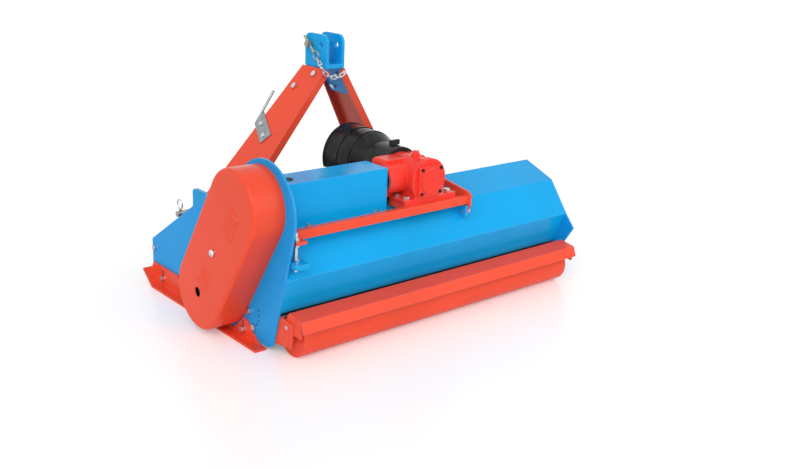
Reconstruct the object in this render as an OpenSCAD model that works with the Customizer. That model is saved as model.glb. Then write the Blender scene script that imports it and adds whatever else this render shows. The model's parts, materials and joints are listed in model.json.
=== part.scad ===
// Rear-mounted flail mower for a small tractor.
// X runs to the right, Y forward to the tractor, Z up, with the ground at zero.

/* [Hood and chassis] */
// Width between the side plates
hood_w = 1150; // [900:10:1400]
// Thickness of the side plates
plate_t = 6; // [4:0.5:8]
// Thickness of the hood sheet
sheet_t = 4; // [2:0.5:5]
// Forward distance from the roller axis to the rotor axis
rotor_y = 285; // [275:1:300]
// Height of the rotor axis
rotor_z = 129; // [125:1:140]
// Forward distance from the roller axis to the drive shaft
drive_y = 91; // [86:1:96]
// Height of the drive shaft
drive_z = 432; // [426:1:440]
// Sideways offset of gearbox and hitch from the middle of the hood, to the left
hitch_offset = 45; // [0:5:80]

/* [Hood profile] */
// Lower edge of the rear panel, forward place
hood_low_y = 19; // [17:1:21]
// Lower edge of the rear panel, height
hood_low_z = 128; // [126:1:134]
// Fold between the rear panel and the sloping panel, forward place
hood_fold_y = -16; // [-20:1:-10]
// Fold between the rear panel and the sloping panel, height
hood_fold_z = 232; // [226:1:238]
// Fold between the sloping panel and the top panel, forward place
hood_knee_y = 62; // [58:1:66]
// Fold between the sloping panel and the top panel, height
hood_knee_z = 335; // [330:1:338]
// Ridge of the hood, forward place
hood_ridge_y = 182; // [176:1:188]
// Ridge of the hood, height
hood_ridge_z = 381; // [376:1:385]
// Front edge of the hood, forward place
hood_front_y = 665; // [655:1:675]
// Front edge of the hood, height
hood_front_z = 180; // [178:1:186]

/* [Side plates] */
// Front edge of the side plates, forward place
plate_front_y = 749; // [740:1:760]
// Upper front corner of the side plates, height
plate_nose_z = 145; // [140:1:150]
// Lower front corner of the side plates, height
plate_chin_z = 60; // [50:1:70]
// Start of the chamfer under the nose, forward place
plate_toe_y = 700; // [690:1:710]
// Start of the chamfer under the nose, height
plate_toe_z = 20; // [15:1:25]
// Round heel of the side plates, forward place of its middle
plate_heel_y = 78; // [74:1:82]
// Round heel of the side plates, height of its middle
plate_heel_z = 47; // [44:1:50]
// Radius of the round heel
plate_heel_r = 38; // [34:1:40]
// Round head of the left plate, forward place of its middle
plate_head_y = 85; // [80:1:90]
// Round head of the left plate, height of its middle
plate_head_z = 408; // [400:1:414]
// Radius of the round head
plate_head_r = 142; // [136:1:148]
// Rear ear of the right plate, forward place
plate_ear_y = -55; // [-58:1:-48]
// Rear ear of the right plate, height
plate_ear_z = 188; // [184:1:194]

/* [Front beam and lower hitch] */
// Rear face of the front beam, forward place
beam_y = 600; // [580:1:610]
// Depth of the front beam
beam_d = 60; // [50:1:64]
// Underside of the front beam, height
beam_z = 95; // [90:1:110]
// Height of the front beam
beam_h = 75; // [60:1:78]
// Wall of the front beam
beam_wall = 6; // [4:0.5:10]
// Distance between the outer faces of the hitch brackets
bracket_span = 682; // [640:2:720]
// Thickness of the hitch brackets
bracket_t = 12; // [8:1:16]
// Front edge of the hitch brackets, forward place
bracket_front_y = 830; // [826:1:840]
// Rear edge of the hitch brackets, forward place
bracket_rear_y = 541; // [530:1:550]
// Top of the hitch brackets, height
bracket_top_z = 268; // [260:1:280]
// Lower corner of the hitch brackets, height
bracket_low_z = 158; // [150:1:164]
// Corner radius of the hitch brackets
bracket_round = 18; // [10:1:22]
// Width of the foot pad on each bracket
pad_w = 76; // [70:1:90]
// Thickness of the foot pad
pad_t = 10; // [8:1:14]
// Diameter of the lower link pins
lower_pin_d = 22; // [20:0.1:24]
// Distance of the lower link pins from the brackets' front edge
lower_pin_edge = 26; // [24:1:30]
// Lower link pins, height
lower_pin_z = 192; // [188:1:200]
// Length of a lower link pin outside its collar
lower_pin_l = 66; // [60:1:80]

/* [Mast] */
// Top of the mast arms, height
mast_z = 698; // [660:1:720]
// Distance between the outer faces of the arms at the top
mast_top_w = 80; // [78:1:84]
// Thickness of the mast arm sheet
arm_t = 6; // [4:0.5:7]
// Depth of the arm flanges
arm_flange = 25; // [22:1:34]
// Width of an arm at its foot
arm_foot_w = 206; // [190:1:208]
// Width of an arm at its top
arm_top_w = 123; // [120:1:130]
// Rear edge of the arms at the top, forward place
arm_top_y = 490; // [484:1:492]
// Thickness of the top link ears
ear_t = 10; // [8:1:12]
// Gap between the top link ears
ear_gap = 52; // [48:1:54]
// Top of the ears, height above the mast arms
ear_h = 108; // [100:1:116]
// Corner radius of the ears
ear_round = 26; // [16:1:28]
// Diameter of the top link pin
top_pin_d = 19; // [16:0.5:22]
// Distance between the two top link holes
top_hole_pitch = 50; // [46:1:54]

/* [Gearbox and drive line] */
// Radius of the gearbox barrel
box_r = 60; // [58:1:62]
// Wall of the gearbox casting
box_wall = 8; // [6:0.5:8]
// Rear end of the gearbox barrel, forward place
box_rear_y = 16; // [14:1:18]
// Front end of the gearbox barrel, forward place
box_front_y = 150; // [148:1:151]
// Width of the square rear cover
box_cover_w = 92; // [88:1:96]
// Diameter of the splined input shaft
pto_d = 34.9; // [30:0.1:36]
// Length of the splined stub ahead of the gearbox
pto_l = 90; // [80:1:110]
// Diameter of the drive shaft to the belt
drive_d = 35; // [30:0.5:36]
// Teeth on the crown gear
crown_teeth = 36; // [36:1:36]
// Teeth on the pinion
pinion_teeth = 12; // [12:1:12]
// Pitch radius of the crown gear
crown_r = 38; // [37:0.5:39]
// Mouth radius of the shaft shield
shield_mouth_r = 102; // [98:1:106]
// Rear radius of the shaft shield
shield_rear_r = 74; // [70:1:80]
// Mouth of the shaft shield, forward place
shield_mouth_y = 410; // [390:1:420]
// Wall of the shaft shield
shield_t = 4; // [3:0.5:5]

/* [Belt drive] */
// Depth of the belt cover
cover_d = 98; // [96:1:106]
// Radius of the belt cover about both shafts
cover_r = 113; // [110:1:116]
// Sheet of the belt cover
cover_t = 3; // [2:0.5:4]
// Edge radius of the belt cover
cover_round = 9; // [8:1:16]
// Outside radius of the upper pulley
drive_pulley_r = 90; // [80:1:92]
// Outside radius of the lower pulley
driven_pulley_r = 75; // [65:1:90]
// Width of the pulleys
pulley_w = 52; // [50:1:54]
// Number of belts
belt_count = 3; // [2:1:3]
// Width of a belt
belt_w = 11; // [9:0.5:12]
// Height of a belt
belt_h = 9; // [7:0.5:10]

/* [Rotor and flails] */
// Radius of the rotor tube
rotor_r = 42; // [38:1:43]
// Wall of the rotor tube
rotor_wall = 7; // [5:0.5:10]
// Diameter of the rotor stub shafts
stub_d = 40; // [35:1:42]
// Radius from the rotor axis to the flail bolts
flail_pin_r = 76; // [76:1:78]
// Reach of a flail from its bolt
flail_l = 38; // [34:1:38]
// Width of a flail blade along the rotor
flail_w = 34; // [28:1:40]
// Thickness of a flail
flail_t = 8; // [6:0.5:9]
// Diameter of the flail bolts
flail_bolt_d = 12; // [10:0.5:12]

/* [Roller] */
// Radius of the rear roller
roller_r = 60; // [56:1:60]
// Gap between the roller ends and the side plates
roller_end_gap = 28; // [24:1:34]
// Diameter of the roller axle
roller_axle_d = 24; // [20:1:26]
// Thickness of the roller arms
roller_arm_t = 6; // [5:0.5:7]
// Pivot of the roller arms, forward place
pivot_y = 164; // [160:1:166]
// Pivot of the roller arms, height
pivot_z = 88; // [86:1:92]
// Radius of the row of height holes about the pivot
quadrant_r = 48; // [46:1:50]
// Range of the roller height setting in degrees
roller_lift = 8; // [4:1:8]

/* [Skids and flaps] */
// Thickness of the skids
skid_t = 6; // [5:0.5:8]
// Width of the skid sole
skid_w = 39; // [30:1:44]
// Lowering range of the skids
skid_drop = 24; // [10:1:26]
// Diameter of the flap rod
flap_rod_d = 14; // [12:0.5:16]
// Height of the flap rod
flap_rod_z = 116; // [112:1:120]
// Forward place of the flap rod
flap_rod_y = 734; // [730:1:736]
// Length of a flap below the rod
flap_l = 92; // [80:1:96]
// Number of flaps
flap_count = 8; // [4:1:12]

/* [Hidden] */
$fn = 64;

// Overrun of every cut
over = 1;
// Clearance between pieces that move past each other
clear = 0.3;
// Running clearance of a shaft in its bearing, per side
run = 0.05;
// Clearance of a bolt in its hole, per side
bolt_clear = 0.25;
// Diameter of the common bolts
bolt_d = 12;
// Size of a bolt head across its corners
head_d = 21;
// Height of a bolt head
head_h = 8;

// Derived places of the chassis
half_w = hood_w / 2;
plate_x = half_w + plate_t;
hitch_x = -hitch_offset;
rotor_axis = [rotor_y, rotor_z];
drive_axis = [drive_y, drive_z];
pivot = [pivot_y, pivot_z];
hood_profile = [
    [hood_low_y, hood_low_z],
    [hood_fold_y, hood_fold_z],
    [hood_knee_y, hood_knee_z],
    [hood_ridge_y, hood_ridge_z],
    [hood_front_y, hood_front_z]
];

// Values of the domed nut on the belt cover
nut_r = 11;
nut_h = 12;

// Values of the roller cover
roller_cover_lip = 84;
roller_cover_rear = 72;
roller_cover_front = 15;
roller_cover_top = 139;
roller_cover_fold = 130;
roller_cover_low = 98;
roller_cover_t = 3;

// The origin lies on the ground under the middle of the machine
left_reach = plate_x + cover_d + nut_h;
right_reach = plate_x + skid_w;
module place() {
    translate([(left_reach - right_reach) / 2, (roller_cover_lip - bracket_front_y) / 2, 0])
        children();
}

// Geometry helpers on the Y and Z plane
function polar(c, r, a) = c + r * [cos(a), sin(a)];
function heading(a, b) = atan2(b[1] - a[1], b[0] - a[0]);
function touch(p, c, r, side) =
    let (d = norm(c - p))
    polar(p, sqrt(d * d - r * r), heading(p, c) + side * asin(r / d));
function tangent_angle(c1, r1, c2, r2, side) =
    heading(c1, c2) + side * acos((r1 - r2) / norm(c2 - c1));
function along(a, b, share) = a + (b - a) * share;
function line_y(a, b, z) = a[0] + (b[0] - a[0]) * (z - a[1]) / (b[1] - a[1]);
function line_z(a, b, y) = a[1] + (b[1] - a[1]) * (y - a[0]) / (b[0] - a[0]);
function right_of(a, b) = let (d = (b - a) / norm(b - a)) [d[1], -d[0]];
function backwards(v) = [for (i = [len(v) - 1 : -1 : 0]) v[i]];
function inset(v, t) = [
    for (i = [0 : len(v) - 1])
        let (n1 = right_of(v[max(i - 1, 0)], v[max(i, 1)]))
        let (n2 = right_of(v[min(i, len(v) - 2)], v[min(i + 1, len(v) - 1)]))
        v[i] + t * (n1 + n2) / (1 + n1 * n2)
];
// Outline of a folded sheet whose left face follows the points
function strip(v, t) = concat(v, backwards(inset(v, t)));
function slope_y(z) = line_y(hood_profile[1], hood_profile[2], z);
function top_z(y) = line_z(hood_profile[2], hood_profile[3], y);
function front_z(y) = line_z(hood_profile[3], hood_profile[4], y);

// Extrude an outline drawn on Y and Z along X
module yz(x, t) {
    translate([x, 0, 0])
        rotate([90, 0, 90])
            linear_extrude(t)
                children();
}
// Round bar along X through a point given on Y and Z
module bar_x(x, l, c, r) {
    yz(x, l)
        translate(c)
            circle(r);
}
// Round bar along Y
module bar_y(x, y, z, l, r) {
    translate([x, y, z])
        rotate([-90, 0, 0])
            cylinder(h = l, r = r);
}
module hex_x(x, l, c) {
    yz(x, l)
        translate(c)
            circle(d = head_d, $fn = 6);
}
// Rounded rectangle drawn from its lower left corner
module round_rect(w, h, r) {
    translate([r, 0])
        square([w - 2 * r, h]);
    translate([0, r])
        square([w, h - 2 * r]);
    for (x = [r, w - r])
        for (y = [r, h - r])
            translate([x, y])
                circle(r);
}
// Area that a belt encloses around two circles
module loop_area(c1, r1, c2, r2) {
    left = tangent_angle(c1, r1, c2, r2, 1);
    right = tangent_angle(c1, r1, c2, r2, -1);
    translate(c1)
        circle(r1);
    translate(c2)
        circle(r2);
    polygon([polar(c1, r1, left), polar(c2, r2, left), polar(c2, r2, right), polar(c1, r1, right)]);
}
module both_sides() {
    children();
    mirror([1, 0, 0])
        children();
}
module both_hitch_sides() {
    children();
    translate([2 * hitch_x, 0, 0])
        mirror([1, 0, 0])
            children();
}

// Values of the shaft cover over the drive shaft
shaft_cover_back = 30;
shaft_cover_front = 72;
shaft_cover_up = 44;
shaft_cover_down = 89;
shaft_cover_t = 3;
shaft_cover_y = drive_y - shaft_cover_back;
shaft_cover_end = 125;
cover_bolt_share = [0.3, 0.9];
cover_bolt_up = 7;
cover_bolt_z = drive_z - shaft_cover_down + cover_bolt_up;
shaft_cover_right = hitch_x - shaft_cover_end;
cover_bolt_x = [for (s = cover_bolt_share) along(-half_w, shaft_cover_right, s)];
cover_bolt_d = 8;
cover_head_d = 15;

// Values of the cradle under the gearbox
cradle_y = 5;
cradle_bar_d = 18;
cradle_bar_h = 26;
cradle_drop = 71;
cradle_z = drive_z - cradle_drop;
cradle_left = 15;
gusset_t = 8;
gusset_out = 160;
gusset_x = hitch_x + gusset_out;
gusset_bolt = [17, 308];
adjuster_in = 26;
adjuster_x = -half_w + adjuster_in;
adjuster_y = -16;
adjuster_d = 12;
adjuster_w = 44;
adjuster_z = 273;
adjuster_h = 13;
adjuster_reach = 52;

// Values of the slots and lugs on the hood
slot_z = 124;
arm_gap = 0.5;
slot_side = 6;
lug_d = 20;
lug_h = 22;
lug_w = 36;
mount_h = 44;
mount_reach = 40;

hood_tuck_y = 78;
hood_tuck_z = 88;
module hood_slot() {
    w = arm_gap + roller_arm_t + slot_side;
    h = slot_z - hood_tuck_z + over;
    d = hood_tuck_y - hood_fold_y + 2 * sheet_t;
    translate([half_w - w, hood_fold_y - sheet_t, hood_tuck_z - over])
        cube([w + over, d + sheet_t, h]);
}
module cover_lug(x) {
    rear = shaft_cover_y + shaft_cover_t;
    front = rear + lug_d;
    top = cover_bolt_z + lug_h / 2;
    difference() {
        yz(x - lug_w / 2, lug_w)
            polygon([
                [rear, top_z(rear) - sheet_t / 2],
                [front, top_z(front) - sheet_t / 2],
                [front, top],
                [rear, top]
            ]);
        bar_y(x, rear - over, cover_bolt_z, lug_d + 2 * over, cover_bolt_d / 2 + bolt_clear);
    }
}
module cradle_mount() {
    low = gusset_bolt[1] - mount_h / 2;
    high = gusset_bolt[1] + mount_h / 2;
    difference() {
        yz(gusset_x - gusset_t, gusset_t)
            polygon([
                [slope_y(low) + sheet_t / 2, low],
                [slope_y(high) + sheet_t / 2, high],
                [gusset_bolt[0] - mount_reach / 3, high],
                [gusset_bolt[0] - mount_reach / 3, gusset_bolt[1] - mount_reach / 3]
            ]);
        bar_x(gusset_x - gusset_t - over, gusset_t + 2 * over, gusset_bolt, bolt_d / 2 + bolt_clear);
    }
}
module adjuster_bracket() {
    top = adjuster_z + adjuster_h;
    difference() {
        yz(adjuster_x - adjuster_w / 2, adjuster_w)
            polygon([
                [slope_y(adjuster_z) + sheet_t / 2, adjuster_z],
                [slope_y(top) + sheet_t / 2, top],
                [-adjuster_reach, top],
                [-adjuster_reach, adjuster_z]
            ]);
        translate([adjuster_x, adjuster_y, adjuster_z - over])
            cylinder(h = adjuster_h + 2 * over, d = adjuster_d + 2 * bolt_clear);
    }
}
module hood_shell() {
    color("deepskyblue")
        place() {
            difference() {
                yz(-half_w, hood_w)
                    polygon(strip(concat([[hood_tuck_y, hood_tuck_z]], hood_profile), sheet_t));
                both_sides()
                    hood_slot();
            }
            for (x = cover_bolt_x)
                cover_lug(x);
            cradle_mount();
            adjuster_bracket();
        }
}

// Values of the skids and their bolts
skid_bolt_y = [674, 190];
skid_bolt_z = [28, 24];
skid_front_z = 68;
skid_crown_y = 578;
skid_strip_z = 12;
skid_strip_y = 240;
skid_heel_y = 75;
skid_lobe = [[186, 61], [170, 57], [142, 30], [112, 9]];
skid_tip_z = 46;
skid_sole_y = 690;

// Values of the height row on the side plates
row_angles = [161, 180, 199, 218];
lock_angle = 238;
row_d = 11;
hub_gap = 5;
lock_place = polar(pivot, quadrant_r, lock_angle);

nose = [plate_front_y, plate_nose_z];
chin = [plate_front_y, plate_chin_z];
toe = [plate_toe_y, plate_toe_z];
heel = [plate_heel_y, plate_heel_z];
head = [plate_head_y, plate_head_z];
ear = [plate_ear_y, plate_ear_z];
heel_low = touch(toe, heel, plate_heel_r, 1);

module plate_holes() {
    translate(rotor_axis)
        circle(stub_d / 2 + hub_gap);
    for (p = [pivot, lock_place])
        translate(p)
            circle(bolt_d / 2 + bolt_clear);
    for (a = row_angles)
        translate(polar(pivot, quadrant_r, a))
            circle(d = row_d);
    for (i = [0, 1])
        translate([skid_bolt_y[i], skid_bolt_z[i]])
            circle(bolt_d / 2 + bolt_clear);
    translate([flap_rod_y, flap_rod_z])
        circle(flap_rod_d / 2 + bolt_clear);
}
module left_outline() {
    back = tangent_angle(head, plate_head_r, heel, plate_heel_r, -1);
    translate(head)
        circle(plate_head_r);
    translate(heel)
        circle(plate_heel_r);
    polygon([
        nose,
        touch(nose, head, plate_head_r, -1),
        polar(head, plate_head_r, back),
        polar(heel, plate_heel_r, back),
        heel_low,
        toe,
        chin
    ]);
}
module right_outline() {
    translate(heel)
        circle(plate_heel_r);
    polygon([
        nose,
        hood_profile[3],
        hood_profile[2],
        hood_profile[1],
        ear,
        touch(ear, heel, plate_heel_r, -1),
        heel_low,
        toe,
        chin
    ]);
}
module side_plate_left() {
    color("dodgerblue")
        place()
            yz(-plate_x, plate_t)
                difference() {
                    left_outline();
                    plate_holes();
                    translate(drive_axis)
                        circle(drive_d / 2 + hub_gap);
                }
}
module side_plate_right() {
    color("dodgerblue")
        place()
            yz(half_w, plate_t)
                difference() {
                    right_outline();
                    plate_holes();
                }
}
module front_beam() {
    color("dodgerblue")
        place()
            yz(-half_w, hood_w)
                difference() {
                    translate([beam_y, beam_z])
                        square([beam_d, beam_h]);
                    translate([beam_y + beam_wall, beam_z + beam_wall])
                        square([beam_d - 2 * beam_wall, beam_h - 2 * beam_wall]);
                }
}

// Values of the hitch brackets
bracket_x = hitch_x - bracket_span / 2;
lower_pin_y = bracket_front_y - lower_pin_edge;
bracket_gap = 2;
collar_t = 9;
collar_d = 40;
module bracket_outline() {
    front = hood_front_y + bracket_gap;
    corner = [bracket_front_y - bracket_round, bracket_top_z - bracket_round];
    translate(corner)
        circle(bracket_round);
    translate([corner[0], bracket_low_z + bracket_round])
        circle(bracket_round);
    polygon([
        [bracket_rear_y, front_z(bracket_rear_y)],
        [bracket_rear_y, bracket_top_z],
        [corner[0], bracket_top_z],
        [bracket_front_y, corner[1]],
        [bracket_front_y, bracket_low_z + bracket_round],
        [corner[0], bracket_low_z],
        [front, beam_z + beam_h / 2],
        [front, front_z(front)]
    ]);
}
module hitch_bracket() {
    difference() {
        union() {
            yz(bracket_x, bracket_t)
                bracket_outline();
            translate([bracket_x, bracket_rear_y, bracket_top_z - pad_t])
                cube([pad_w, arm_foot_w + pad_t, pad_t]);
        }
        bar_x(bracket_x - over, bracket_t + 2 * over, [lower_pin_y, lower_pin_z],
            lower_pin_d / 2 + bolt_clear);
    }
}
module hitch_brackets() {
    color("dodgerblue")
        place()
            both_hitch_sides()
                hitch_bracket();
}

// Values of the mast arms
foot_inset = 6;
foot_half = bracket_span / 2 - foot_inset;
arm_rise = mast_z - bracket_top_z;
lean = atan((foot_half - mast_top_w / 2) / arm_rise);
arm_l = arm_rise / cos(lean);
function arm_rear(v) = along(bracket_rear_y, arm_top_y, v / arm_l);
function arm_front(v) = along(bracket_rear_y + arm_foot_w, arm_top_y + arm_top_w, v / arm_l);

// Values of the clevis legs and the bolts through them
leg_t = 8;
leg_l = 108;
leg_up = 8;
leg_side = 2;
mast_bolt_y_share = [0.28, 0.7];
mast_bolt_l = [24, 80];
mast_bolt_places = [
    for (i = [0, 1])
        let (v = arm_l - mast_bolt_l[i])
        [along(arm_rear(v), arm_front(v), mast_bolt_y_share[i]), v]
];

// Values of the hook plate for the drive line
hook_v = 222;
hook_w = 114;
hook_h = 113;
hook_t = 4;
hook_rod_d = 9;
hook_rod_l = 82;
hook_y = arm_front(hook_v) - hook_w;
hook_bolt_d = 8;
hook_bolt_shares = [[0.31, 0.25], [0.68, 0.56]];
hook_outline_shares = [[0.26, 0], [1, 0.51], [0.97, 1], [0.8, 0.885], [0, 0.34]];
hook_rod_shares = [0.88, 0.9];
function hook_at(shares) = [hook_y + hook_w * shares[0], hook_v + hook_h * shares[1]];
hook_places = [for (s = hook_bolt_shares) hook_at(s)];

// Frame at the foot of the left arm: X inward from its outer face, Z up along it
module arm_frame() {
    translate([hitch_x - foot_half, 0, bracket_top_z])
        rotate([0, lean, 0])
            children();
}
module arm_body() {
    low = -over;
    high = arm_l + over;
    arm_frame()
        difference() {
            yz(0, arm_flange)
                polygon([
                    [arm_rear(0), 0],
                    [arm_front(0), 0],
                    [arm_front(arm_l), arm_l],
                    [arm_rear(arm_l), arm_l]
                ]);
            yz(arm_t, arm_flange)
                polygon([
                    [arm_rear(low) + arm_t, low],
                    [arm_front(low) - arm_t, low],
                    [arm_front(high) - arm_t, high],
                    [arm_rear(high) + arm_t, high]
                ]);
            for (p = mast_bolt_places)
                bar_x(-over, arm_t + 2 * over, p, bolt_d / 2 + bolt_clear);
        }
}
// Cuts the arm flat below the foot pad
module below_pad() {
    translate([hitch_x - foot_half - pad_w, bracket_rear_y - pad_w, bracket_top_z - arm_l])
        cube([2 * foot_half, arm_foot_w + 2 * pad_w, arm_l]);
}
module mast_arm_left() {
    color("orangered")
        place()
            difference() {
                arm_body();
                below_pad();
                arm_frame()
                    for (p = hook_places)
                        bar_x(-over, arm_t + 2 * over, p, hook_bolt_d / 2 + bolt_clear);
            }
}
module mast_arm_right() {
    color("orangered")
        place()
            translate([2 * hitch_x, 0, 0])
                mirror([1, 0, 0])
                    difference() {
                        arm_body();
                        below_pad();
                    }
}

// Values of the top link clevis
ear_lap = 3;
ear_narrow = 5;
ear_lift = 2;
ear_y = arm_top_y - ear_lap;
ear_w = arm_top_w - ear_narrow;
ear_base_z = mast_z + ear_lift;
ear_top_z = mast_z + ear_h;
ear_out = ear_gap / 2 + ear_t;
floor_t = 12;
ear_hole_drop = 35;
top_hole_z = ear_top_z - ear_hole_drop;
top_hole_in = 32;
top_hole_y = ear_y + top_hole_in;
top_holes = [[top_hole_y, top_hole_z], [top_hole_y + top_hole_pitch, top_hole_z]];
module ear_plate() {
    yz(hitch_x - ear_out, ear_t)
        difference() {
            union() {
                translate([ear_y, ear_base_z])
                    square([ear_w, ear_top_z - ear_base_z - ear_round]);
                translate([ear_y + ear_round, ear_base_z])
                    square([ear_w - 2 * ear_round, ear_top_z - ear_base_z]);
                for (y = [ear_y + ear_round, ear_y + ear_w - ear_round])
                    translate([y, ear_top_z - ear_round])
                        circle(ear_round);
            }
            for (p = top_holes)
                translate(p)
                    circle(top_pin_d / 2 + bolt_clear);
        }
}
module clevis_leg() {
    low = arm_l - leg_l;
    high = arm_l + leg_up;
    gap = arm_t + leg_side;
    arm_frame()
        difference() {
            yz(arm_t, leg_t)
                polygon([
                    [arm_rear(low) + gap, low],
                    [arm_front(low) - gap, low],
                    [arm_front(high) - gap, high],
                    [arm_rear(high) + gap, high]
                ]);
            for (p = mast_bolt_places)
                bar_x(arm_t - over, leg_t + 2 * over, p, bolt_d / 2 + bolt_clear);
        }
}
module top_link_clevis() {
    color("dodgerblue")
        place()
            union() {
                both_hitch_sides() {
                    ear_plate();
                    clevis_leg();
                }
                translate([hitch_x - ear_out, ear_y, ear_base_z])
                    cube([2 * ear_out, ear_w, floor_t]);
            }
}

// Values of the top link pin and its linch pin
pin_tail = 24;
pin_head_d = 34;
pin_head_t = 9;
linch_d = 9;
linch_l = 72;
linch_angle = 41;
linch_ring_r = 14;
linch_wire_d = 3.6;
linch_out = 10;
linch_x = hitch_x - ear_out - linch_out;
top_pin_place = top_holes[1];
module top_linch_frame() {
    translate([linch_x, top_pin_place[0], top_pin_place[1]])
        rotate([linch_angle, 0, 0])
            children();
}
module top_link_pin() {
    left = hitch_x - ear_out - pin_tail;
    right = hitch_x + ear_out;
    color("silver")
        place()
            difference() {
                union() {
                    bar_x(left, right - left + pin_head_t, top_pin_place, top_pin_d / 2);
                    bar_x(right, pin_head_t, top_pin_place, pin_head_d / 2);
                }
                top_linch_frame()
                    bar_y(0, -linch_l / 2, 0, linch_l, linch_d / 2 + bolt_clear);
            }
}
module ring_x(r, wire) {
    rotate([0, 90, 0])
        rotate_extrude()
            translate([r, 0])
                circle(d = wire, $fn = 32);
}
module top_linch_pin() {
    color("silver")
        place()
            top_linch_frame() {
                bar_y(0, -linch_l / 2, 0, linch_l, linch_d / 2);
                translate([0, -linch_l / 2 - linch_ring_r, 0])
                    ring_x(linch_ring_r, linch_wire_d);
            }
}

// Values of the retaining chain behind the mast
chain_wire = 4;
chain_in_w = 7;
chain_slack = 0.8;
chain_lap = 0.4;
chain_step = 0.1;
chain_r = 60;
chain_start = 206;
chain_end = 307;
chain_arc_links = 6;
chain_run_links = 3;
chain_behind = 11;
chain_aside = 7;
chain_above = 33;
chain_y = arm_top_y - chain_behind;
chain_mid_x = hitch_x - chain_aside;
chain_mid_z = mast_z + chain_above;
eye_r = 5;
ring_reach = linch_l / 2 + 2 * linch_ring_r;
chain_hook = [
    linch_x,
    top_pin_place[0] - ring_reach * cos(linch_angle),
    top_pin_place[1] - ring_reach * sin(linch_angle)
];
function chain_arc_point(i) =
    let (a = along(chain_start, chain_end, i / chain_arc_links))
    [chain_mid_x + chain_r * cos(a), chain_y, chain_mid_z + chain_r * sin(a)];
chain_run = chain_arc_point(0) - chain_hook;
chain_first = chain_hook - chain_run / norm(chain_run) * linch_wire_d / 2;
chain_points = concat(
    [for (i = [0 : chain_run_links - 1]) along(chain_first, chain_arc_point(0), i / chain_run_links)],
    [for (i = [0 : chain_arc_links]) chain_arc_point(i)]
);
module chain_link(pitch) {
    r = (chain_in_w + chain_wire) / 2;
    straight = pitch + chain_slack - chain_in_w;
    for (s = [-1, 1]) {
        translate([s * r, 0, -straight / 2 - chain_lap])
            cylinder(h = straight + 2 * chain_lap, d = chain_wire - chain_step, $fn = 32);
        translate([0, 0, s * straight / 2])
            rotate([90 * s, 0, 0])
                rotate_extrude(angle = 180)
                    translate([r, 0])
                        circle(d = chain_wire, $fn = 32);
    }
}
module retaining_chain() {
    last = chain_points[len(chain_points) - 1];
    ahead = [-sin(chain_end), 0, cos(chain_end)];
    stem = last + ahead * (2 * eye_r - chain_wire / 2);
    stem_y = arm_rear((stem[2] - bracket_top_z) / cos(lean)) - chain_slack;
    color("silver")
        place() {
            for (i = [0 : len(chain_points) - 2]) {
                a = chain_points[i];
                d = chain_points[i + 1] - a;
                translate(a + d / 2)
                    rotate([0, atan2(d[0], d[2]), 0])
                        rotate([-asin(d[1] / norm(d)), 0, 0])
                            rotate([0, 0, 90 * (i % 2)])
                                chain_link(norm(d));
            }
            translate(last + ahead * (eye_r - chain_wire / 2))
                rotate([0, 0, 90])
                    ring_x(eye_r, chain_wire);
            bar_y(stem[0], chain_y, stem[2], stem_y - chain_y, chain_wire / 2);
        }
}
module driveline_hook() {
    color("lightsteelblue")
        place()
            arm_frame() {
                difference() {
                    yz(-hook_t, hook_t)
                        polygon([for (s = hook_outline_shares) hook_at(s)]);
                    for (p = hook_places)
                        bar_x(-hook_t - over, hook_t + 2 * over, p, hook_bolt_d / 2 + bolt_clear);
                }
                translate(concat([-hook_t - hook_rod_d / 2 + clear], hook_at(hook_rod_shares)))
                    cylinder(h = hook_rod_l, d = hook_rod_d);
            }
}
module mast_bolts() {
    color("silver")
        place() {
            both_hitch_sides()
                arm_frame()
                    for (p = mast_bolt_places) {
                        hex_x(-head_h, head_h, p);
                        bar_x(-over, arm_t + leg_t + 2 * over, p, bolt_d / 2);
                        hex_x(arm_t + leg_t, head_h, p);
                    }
            arm_frame()
                for (p = hook_places) {
                    bar_x(-hook_t - hook_bolt_d / 2, hook_bolt_d / 2, p, hook_bolt_d);
                    bar_x(-hook_t - over, hook_t + arm_t + over, p, hook_bolt_d / 2);
                }
        }
}

// Values of the lower link pins
lower_nut_t = 16;
lower_nut_d = 36;
cross_d = 9;
cross_in = 12;
lower_linch_down = 20;
lower_linch_up = 20;
lower_ring_r = 16;
lower_tail_l = 20;
tail_cut = 1;
lower_wire_d = 5;
lower_pin_end = bracket_x - collar_t - lower_pin_l;
lower_place = [lower_pin_y, lower_pin_z];
module lower_pin() {
    neck = lower_pin_end + lower_tail_l;
    difference() {
        union() {
            bar_x(lower_pin_end, lower_tail_l + over, lower_place, lower_pin_d / 2 - tail_cut);
            bar_x(neck, bracket_x - neck + bracket_t + lower_nut_t, lower_place, lower_pin_d / 2);
            bar_x(bracket_x - collar_t, collar_t, lower_place, collar_d / 2);
            yz(bracket_x + bracket_t, lower_nut_t)
                translate(lower_place)
                    circle(d = lower_nut_d, $fn = 6);
        }
        translate([lower_pin_end + cross_in, lower_pin_y, lower_pin_z - lower_pin_d])
            cylinder(h = 2 * lower_pin_d, r = cross_d / 2 + clear);
    }
}
module lower_hitch_pins() {
    color("silver")
        place()
            both_hitch_sides()
                lower_pin();
}
module lower_linch() {
    translate([lower_pin_end + cross_in, lower_pin_y, lower_pin_z - lower_linch_down]) {
        cylinder(h = lower_linch_down + lower_linch_up, d = cross_d);
        translate([0, 0, lower_linch_down + lower_linch_up + lower_ring_r - lower_wire_d / 2])
            ring_x(lower_ring_r, lower_wire_d);
    }
}
module linch_pin_left() {
    color("silver")
        place()
            lower_linch();
}
module linch_pin_right() {
    color("silver")
        place()
            translate([2 * hitch_x, 0, 0])
                mirror([1, 0, 0])
                    lower_linch();
}

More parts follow.
